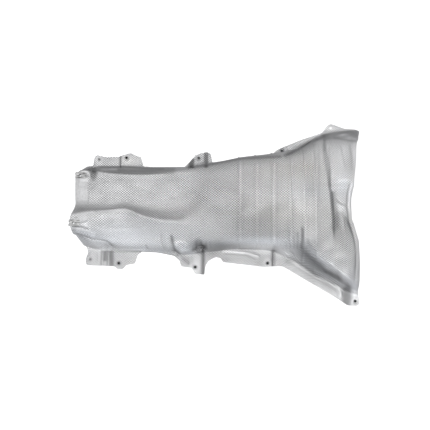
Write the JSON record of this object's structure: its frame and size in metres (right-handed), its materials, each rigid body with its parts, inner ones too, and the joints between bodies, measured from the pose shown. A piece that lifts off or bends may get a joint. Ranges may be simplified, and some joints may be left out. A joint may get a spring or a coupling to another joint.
{
  "type": "exhaust heat shield",
  "caption": "Formed aluminium tunnel heat shield, flared at one end, with bolt ears along both flanges and spring nuts on its narrow edge.",
  "frame": {"origin": "centre of the part's box in plan, on the plane that the flanges rest on", "axes": "+X along the exhaust from the narrow end to the flared end, +Z from the flanges to the crown"},
  "size_m": [0.74, 0.4982, 0.1122],
  "materials": {
    "embossed_sheet": "diamond embossed, satin",
    "spring_steel": "dull zinc"
  },
  "bodies": {
    "root": {"shield": "embossed_sheet", "clip_nut_upper": "spring_steel", "clip_nut_lower": "spring_steel"}
  },
  "joints": []
}
